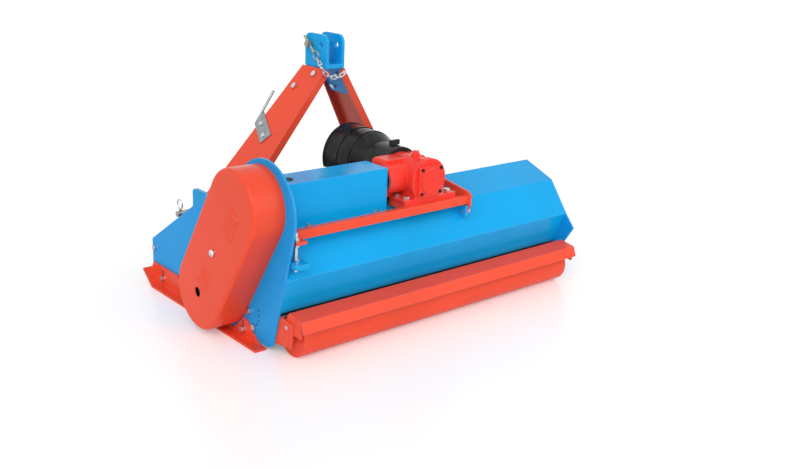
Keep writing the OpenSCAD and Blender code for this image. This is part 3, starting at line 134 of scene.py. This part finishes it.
class Graph:
    """A material's node tree, with short ways to add what the finishes share."""

    def __init__(self, name):
        self.material = bpy.data.materials.new(name)
        self.material.use_nodes = True
        self.tree = self.material.node_tree
        self.tree.nodes.clear()
        self.output = self.add("ShaderNodeOutputMaterial")
        self.bsdf = self.add("ShaderNodeBsdfPrincipled")
        self.link(self.bsdf, "BSDF", self.output, "Surface")
        self.place = self.add("ShaderNodeTexCoord")

    def add(self, kind, **values):
        node = self.tree.nodes.new(kind)
        for key, value in values.items():
            setattr(node, key, value)
        return node

    def link(self, source, out, target, into):
        self.tree.links.new(source.outputs[out], target.inputs[into])

    def set(self, **values):
        """Numbers and colours that are the same all over go straight on the shader."""
        for key, value in values.items():
            self.bsdf.inputs[key.replace("_", " ")].default_value = value

    def noise(self, scale, detail=3.0, rough=0.55, stretch=None):
        node = self.add("ShaderNodeTexNoise")
        node.inputs["Scale"].default_value = scale
        node.inputs["Detail"].default_value = detail
        node.inputs["Roughness"].default_value = rough
        if stretch is None:
            self.link(self.place, "Object", node, "Vector")
        else:
            grain = self.add("ShaderNodeMapping")
            grain.inputs["Scale"].default_value = stretch
            self.link(self.place, "Object", grain, "Vector")
            self.link(grain, "Vector", node, "Vector")
        return node

    def ramp(self, source, out, stops):
        node = self.add("ShaderNodeValToRGB")
        points = node.color_ramp.elements
        while len(points) < len(stops):
            points.new(0.5)
        for point, (at, colour) in zip(points, stops):
            point.position = at
            point.color = colour
        self.link(source, out, node, "Fac")
        return node

    def range(self, source, out, low, high, to_low, to_high):
        node = self.add("ShaderNodeMapRange")
        for key, value in (("From Min", low), ("From Max", high), ("To Min", to_low), ("To Max", to_high)):
            node.inputs[key].default_value = value
        self.link(source, out, node, "Value")
        return node

    def math(self, kind, a, a_out, b, b_out):
        node = self.add("ShaderNodeMath", operation=kind)
        self.tree.links.new(a.outputs[a_out], node.inputs[0])
        self.tree.links.new(b.outputs[b_out], node.inputs[1])
        return node

    def mix(self, factor, factor_out, a, a_out, colour):
        """The colour from a, with another laid over it where the factor is high."""
        node = self.add("ShaderNodeMixRGB")
        self.link(factor, factor_out, node, "Fac")
        self.link(a, a_out, node, "Color1")
        node.inputs["Color2"].default_value = colour
        return node

    def edges(self, radius, low, high):
        """High on edges and corners: where a rounded normal leaves the face's own."""
        round_edge = self.add("ShaderNodeBevel", samples=4)
        round_edge.inputs["Radius"].default_value = radius
        face = self.add("ShaderNodeNewGeometry")
        dot = self.add("ShaderNodeVectorMath", operation="DOT_PRODUCT")
        self.tree.links.new(round_edge.outputs["Normal"], dot.inputs[0])
        self.tree.links.new(face.outputs["Normal"], dot.inputs[1])
        return self.range(dot, "Value", low, high, 1.0, 0.0)

    def bump(self, *layers, round_edges=0.8 * MM):
        """Fine relief from several noises, each with its strength and depth, over slightly rounded edges."""
        last = self.add("ShaderNodeBevel", samples=4)
        last.inputs["Radius"].default_value = round_edges
        for source, out, strength, depth in layers:
            node = self.add("ShaderNodeBump")
            node.inputs["Strength"].default_value = strength
            node.inputs["Distance"].default_value = depth
            self.link(source, out, node, "Height")
            self.link(last, "Normal", node, "Normal")
            last = node
        self.link(last, "Normal", self.bsdf, "Normal")


def paint(name, colour, gloss=0.16, peel=0.035, edge_wear_and_sheen=0.70, ior=1.25, coat=0.05, cast=False):
    """Gloss powder coat: slow colour drift, orange peel, edges painted lighter as patchy wear over a painted
    highlight, faint scuffs in the gloss.
    """
    g = Graph(name)
    drift = g.noise(4.0, detail=3.0)
    base = g.ramp(drift, "Fac", [(0.30, shade(colour, 0.95)), (0.72, shade(colour, 1.04))])
    # Edges mixed towards white: a painted highlight along every edge, with patchy wear laid on top of it.
    chips = g.noise(120.0, detail=5.0, rough=0.7)
    patch = g.range(chips, "Fac", 0.36, 0.64, 0.25 * edge_wear_and_sheen, edge_wear_and_sheen)
    edge = g.edges(2.4 * MM, 0.80, 0.985)
    wear_and_edge_sheen = g.math("MULTIPLY", edge, "Result", patch, "Result")
    top = g.mix(wear_and_edge_sheen, "Value", base, "Color", toward(colour, WHITE, 0.38))
    g.link(top, "Color", g.bsdf, "Base Color")
    smear = g.noise(11.0, detail=5.0, rough=0.6)
    rough = g.range(smear, "Fac", 0.30, 0.72, gloss, gloss + 0.12)
    g.link(rough, "Result", g.bsdf, "Roughness")
    g.set(IOR=ior, Coat_Weight=coat, Coat_Roughness=0.06, Coat_IOR=1.4)
    skin = g.noise(520.0, detail=2.0)
    layers = [(skin, "Fac", peel, 0.4 * MM)]
    if cast:
        lumps = g.noise(170.0, detail=4.0, rough=0.6)
        layers.append((lumps, "Fac", 0.26, 1.0 * MM))
    g.bump(*layers, round_edges=1.2 * MM)
    return g.material


def metal(name, colour, tint, rough, grain, bright_edges=0.5):
    """Bare or plated metal: blotched colour, uneven roughness, rubbed edges and a fine grain."""
    g = Graph(name)
    blotch = g.noise(55.0, detail=5.0, rough=0.62)
    stops = [(0.30, shade(colour, 0.80)), (0.55, shade(colour, 1.0)), (0.78, shade(tint, 1.0))]
    base = g.ramp(blotch, "Fac", stops)
    rub = g.noise(170.0, detail=4.0)
    patch = g.range(rub, "Fac", 0.35, 0.65, 0.0, bright_edges)
    edge = g.edges(1.0 * MM, 0.78, 0.985)
    wear_and_edge_sheen = g.math("MULTIPLY", edge, "Result", patch, "Result")
    top = g.mix(wear_and_edge_sheen, "Value", base, "Color", toward(colour, WHITE, 0.45))
    g.link(top, "Color", g.bsdf, "Base Color")
    smear = g.noise(90.0, detail=5.0, rough=0.65)
    uneven = g.range(smear, "Fac", 0.28, 0.74, rough, rough + 0.22)
    g.link(uneven, "Result", g.bsdf, "Roughness")
    g.set(Metallic=1.0)
    fine = g.noise(grain, detail=3.0)
    g.bump((fine, "Fac", 0.10, 0.3 * MM))
    return g.material


def plastic(name, colour, rough, relief, ior=1.5):
    """Moulded plastic or rubber: faint bloom, uneven gloss, a fine moulded skin."""
    g = Graph(name)
    bloom = g.noise(24.0, detail=6.0, rough=0.68)
    base = g.ramp(bloom, "Fac", [(0.35, shade(colour, 0.85)), (0.80, toward(colour, WHITE, 0.028))])
    g.link(base, "Color", g.bsdf, "Base Color")
    smear = g.noise(46.0, detail=5.0, rough=0.66)
    uneven = g.range(smear, "Fac", 0.30, 0.75, rough, rough + 0.18)
    g.link(uneven, "Result", g.bsdf, "Roughness")
    g.set(IOR=ior)
    skin = g.noise(480.0, detail=3.0)
    g.bump((skin, "Fac", relief, 0.4 * MM))
    return g.material


def gearbox_bolt_finish():
    """Zinc foot bolts, dark corner bolts above them and a painted filler plug, told apart by height."""
    g = Graph("gearbox_bolt_finish")
    height = g.add("ShaderNodeSeparateXYZ")
    g.link(g.place, "Object", height, "Vector")
    blotch = g.noise(60.0, detail=5.0, rough=0.62)
    base = g.ramp(blotch, "Fac", [(0.30, shade(ZINC, 0.82)), (0.75, shade(ZINC, 1.04))])
    corner = g.range(height, "Z", FOOT_BOLT_TOP, FOOT_BOLT_TOP + STEP, 0.0, 1.0)
    plug = g.range(height, "Z", PLUG_BASE, PLUG_BASE + STEP, 0.0, 1.0)
    dark = g.mix(corner, "Result", base, "Color", shade(DARK, 0.45))
    top = g.mix(plug, "Result", dark, "Color", shade(RED_CAST, 1.0))
    g.link(top, "Color", g.bsdf, "Base Color")
    plated = g.range(height, "Z", PLUG_BASE, PLUG_BASE + STEP, 1.0, 0.0)
    g.link(plated, "Result", g.bsdf, "Metallic")
    smear = g.noise(90.0, detail=5.0, rough=0.65)
    uneven = g.range(smear, "Fac", 0.28, 0.74, 0.24, 0.44)
    g.link(uneven, "Result", g.bsdf, "Roughness")
    fine = g.noise(500.0, detail=3.0)
    g.bump((fine, "Fac", 0.10, 0.3 * MM))
    return g.material


RED_PAINT = paint("red_powder_coat", RED)
BLUE_PAINT = paint("blue_powder_coat", BLUE, ior=1.22)
PLATE_PAINT = paint("blue_plate_coat", BLUE_DEEP, ior=1.22)
CAST_PAINT = paint("red_cast_paint", RED_CAST, gloss=0.20, peel=0.08, cast=True)
ZINC_PLATE = metal("zinc_plate", ZINC, (0.74, 0.71, 0.62), 0.20, 700.0)
BRIGHT = metal("machined_steel", STEEL, (0.68, 0.67, 0.65), 0.18, 900.0)
GREY_CAST = metal("grey_cast_iron", CAST, (0.26, 0.25, 0.24), 0.42, 260.0)
FORGED = metal("forged_steel", DARK, (0.13, 0.10, 0.08), 0.45, 240.0, bright_edges=0.9)
BUSH = metal("bush_bronze", BRASS, (0.68, 0.50, 0.24), 0.25, 600.0)
GALVANISED = metal("galvanised_plate", DULL_ZINC, (0.44, 0.46, 0.46), 0.34, 420.0)
YELLOW_ZINC = metal("yellow_zinc_plate", WARM_ZINC, (0.60, 0.52, 0.40), 0.26, 600.0)
BLACK_PLASTIC = plastic("black_gloss_plastic", BLACK, 0.10, 0.03, ior=1.26)
BELT_RUBBER = plastic("belt_rubber", RUBBER, 0.55, 0.30)
BLACK_PAINT = paint("black_steel_paint", BLACK_STEEL, gloss=0.30, edge_wear_and_sheen=0.5)

SLOT_FINISH = {
    "blue_paint": BLUE_PAINT,
    "blue_plate": PLATE_PAINT,
    "skid_paint": RED_PAINT,
    "mast_paint": RED_PAINT,
    "guard_paint": RED_PAINT,
    "frame_paint": RED_PAINT,
    "gearbox_paint": CAST_PAINT,
    "zinc": ZINC_PLATE,
    "bright_steel": BRIGHT,
    "grey_cast": GREY_CAST,
    "dark_steel": FORGED,
    "flap_rubber": BLACK_PAINT,
    "belt_rubber": BELT_RUBBER,
    "black_plastic": BLACK_PLASTIC,
    "bush_brass": BUSH,
}
NODE_FINISH = {
    "driveline_hook": GALVANISED,
    "top_linch_pin": YELLOW_ZINC,
    "top_link_pin": YELLOW_ZINC,
    "lower_hitch_pins": YELLOW_ZINC,
    "gearbox_bolts": gearbox_bolt_finish(),
    "roller_bushes": RED_PAINT,
}


def dress(obj, material):
    """The material goes into every slot of the object."""
    if not obj.material_slots:
        obj.data.materials.append(material)
    for slot in obj.material_slots:
        slot.material = material


for part in frame["record"]["subparts"]:
    name = part["node"]
    dress(NODES[name], NODE_FINISH.get(name, SLOT_FINISH[part["material_slot"]]))


def add_piece(name, bm, body, material):
    """A new mesh piece that rides on a body and takes the finish it is given."""
    mesh = bpy.data.meshes.new(name)
    bmesh.ops.recalc_face_normals(bm, faces=bm.faces)
    bm.to_mesh(mesh)
    bm.free()
    mesh.materials.append(material)
    for face in mesh.polygons:
        face.use_smooth = True
    piece = bpy.data.objects.new(name, mesh)
    bpy.context.collection.objects.link(piece)
    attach(piece, body)
    return piece


def lathe(bm, section, foot, segments=48):
    """Turn a section of radius against height about an upright axis through the foot."""
    rings = []
    for radius, height in section:
        middle = Vector(foot) + Vector((0, 0, height * MM))
        count = segments if radius else 1
        ring = []
        for i in range(count):
            a = 2 * math.pi * i / segments
            ring.append(bm.verts.new(middle + radius * MM * Vector((math.cos(a), math.sin(a), 0))))
        rings.append(ring)
    for low, high in zip(rings, rings[1:]):
        for i in range(segments):
            j = (i + 1) % segments
            corners = [low[i % len(low)], low[j % len(low)], high[j % len(high)], high[i % len(high)]]
            bm.faces.new(list(dict.fromkeys(corners)))


def louvre_hoods(name, middle, count):
    """Pressed hoods over the slots of the belt cover, open on their lower side."""
    bm = bmesh.new()
    across = Vector((0, math.cos(LOUVRE_TILT), math.sin(LOUVRE_TILT)))
    along = Vector((0, -math.sin(LOUVRE_TILT), math.cos(LOUVRE_TILT)))
    face = Vector((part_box("belt_cover")[0][0], middle[0] * MM, middle[1] * MM))
    half = LOUVRE_W / 2 + LOUVRE_END
    for n in range(count):
        at = (n - (count - 1) / 2) * LOUVRE_PITCH
        rows = []
        for t in range(HOOD_STEPS + 1):
            down = t / HOOD_STEPS
            row = []
            for k in range(HOOD_COLUMNS + 1):
                u = -1 + 2 * k / HOOD_COLUMNS
                rise = HOOD_DEPTH * math.sin(down * math.pi / 2) * (1 - u ** 6) + HOOD_SEAT
                place = along * (at + HOOD_TOP - HOOD_L * down) + across * (u * half) - Vector((rise, 0, 0))
                row.append(bm.verts.new(face + place * MM))
            rows.append(row)
        for high, low in zip(rows, rows[1:]):
            for k in range(HOOD_COLUMNS):
                bm.faces.new((high[k], high[k + 1], low[k + 1], low[k]))
    hoods = add_piece(name, bm, "chassis", RED_PAINT)
    wall = hoods.modifiers.new("wall", "SOLIDIFY")
    wall.thickness = HOOD_WALL * MM
    wall.offset = 0.0


def cover_plug():
    """Rubber plug in the top of the shaft cover, near its left end."""
    bm = bmesh.new()
    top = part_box("shaft_cover")[1][2]
    lathe(bm, PLUG_SECTION, (PLUG_AT[0] * MM, PLUG_AT[1] * MM, top))
    add_piece("cover_plug", bm, "chassis", BELT_RUBBER)


def add_camera():
    """The photograph's camera, from its yaw, pitch and roll."""
    forward = Vector((math.sin(YAW) * math.cos(PITCH), math.cos(YAW) * math.cos(PITCH), -math.sin(PITCH)))
    level = Vector((math.cos(YAW), -math.sin(YAW), 0.0))
    down = forward.cross(level)
    right = math.cos(ROLL) * level + math.sin(ROLL) * down
    under = -math.sin(ROLL) * level + math.cos(ROLL) * down
    data = bpy.data.cameras.new("camera")
    data.sensor_fit = "HORIZONTAL"
    data.sensor_width = SENSOR_MM
    data.lens = FOCAL_PX / IMAGE_W * SENSOR_MM
    camera = bpy.data.objects.new("camera", data)
    bpy.context.collection.objects.link(camera)
    turn = Matrix((right, -under, -forward)).transposed().to_4x4()
    camera.matrix_world = Matrix.Translation(CAMERA_AT) @ turn
    bpy.context.scene.camera = camera


def add_sun(name, stands, strength, spread):
    """A soft sun that shines from where it stands to the origin."""
    data = bpy.data.lights.new(name, "SUN")
    data.energy = strength
    data.angle = math.radians(spread)
    lamp = bpy.data.objects.new(name, data)
    lamp.rotation_euler = Vector(stands).to_track_quat("Z", "Y").to_euler()
    bpy.context.collection.objects.link(lamp)


def add_world():
    """Soft light from all round; the camera and the reflections see it white."""
    world = bpy.data.worlds.new("studio")
    bpy.context.scene.world = world
    world.use_nodes = True
    tree = world.node_tree
    tree.nodes.clear()
    output = tree.nodes.new("ShaderNodeOutputWorld")
    ambient = tree.nodes.new("ShaderNodeBackground")
    ambient.inputs["Strength"].default_value = AMBIENT
    seen = tree.nodes.new("ShaderNodeBackground")
    seen.inputs["Strength"].default_value = 1.0
    for shader in (ambient, seen):
        shader.inputs["Color"].default_value = shade(WHITE, 1.0)
    path = tree.nodes.new("ShaderNodeLightPath")
    last = path.outputs["Is Camera Ray"]
    for ray in ("Is Glossy Ray", "Is Transmission Ray"):
        either = tree.nodes.new("ShaderNodeMath")
        either.operation = "MAXIMUM"
        tree.links.new(last, either.inputs[0])
        tree.links.new(path.outputs[ray], either.inputs[1])
        last = either.outputs["Value"]
    mix = tree.nodes.new("ShaderNodeMixShader")
    tree.links.new(last, mix.inputs["Fac"])
    tree.links.new(ambient.outputs["Background"], mix.inputs[1])
    tree.links.new(seen.outputs["Background"], mix.inputs[2])
    tree.links.new(mix.outputs["Shader"], output.inputs["Surface"])


def add_floor():
    """A pale floor that the camera sees as white where no shadow falls."""
    mesh = bpy.data.meshes.new("floor")
    corners = [(x * FLOOR_REACH, y * FLOOR_REACH, 0) for x, y in ((-1, -1), (1, -1), (1, 1), (-1, 1))]
    mesh.from_pydata(corners, [], [(0, 1, 2, 3)])
    floor = bpy.data.objects.new("floor", mesh)
    bpy.context.collection.objects.link(floor)
    material = bpy.data.materials.new("pale_floor")
    material.use_nodes = True
    shader = material.node_tree.nodes["Principled BSDF"]
    shader.inputs["Base Color"].default_value = shade(PALE, 1.0)
    shader.inputs["Roughness"].default_value = FLOOR_ROUGH
    shader.inputs["Emission Color"].default_value = shade(WHITE, 1.0)
    path = material.node_tree.nodes.new("ShaderNodeLightPath")
    lift = material.node_tree.nodes.new("ShaderNodeMath")
    lift.operation = "MULTIPLY"
    lift.inputs[1].default_value = FLOOR_LIFT
    material.node_tree.links.new(path.outputs["Is Camera Ray"], lift.inputs[0])
    material.node_tree.links.new(lift.outputs["Value"], shader.inputs["Emission Strength"])
    mesh.materials.append(material)


louvre_hoods("louvre_hoods_lower", LOWER_LOUVRES_AT, LOWER_LOUVRES)
louvre_hoods("louvre_hoods_upper", UPPER_LOUVRES_AT, UPPER_LOUVRES)
cover_plug()
add_camera()
add_world()
add_floor()
add_sun("key", KEY_FROM, KEY_STRENGTH, KEY_SPREAD)
add_sun("fill", FILL_FROM, FILL_STRENGTH, FILL_SPREAD)

scene = bpy.context.scene
scene.view_settings.view_transform = "Standard"
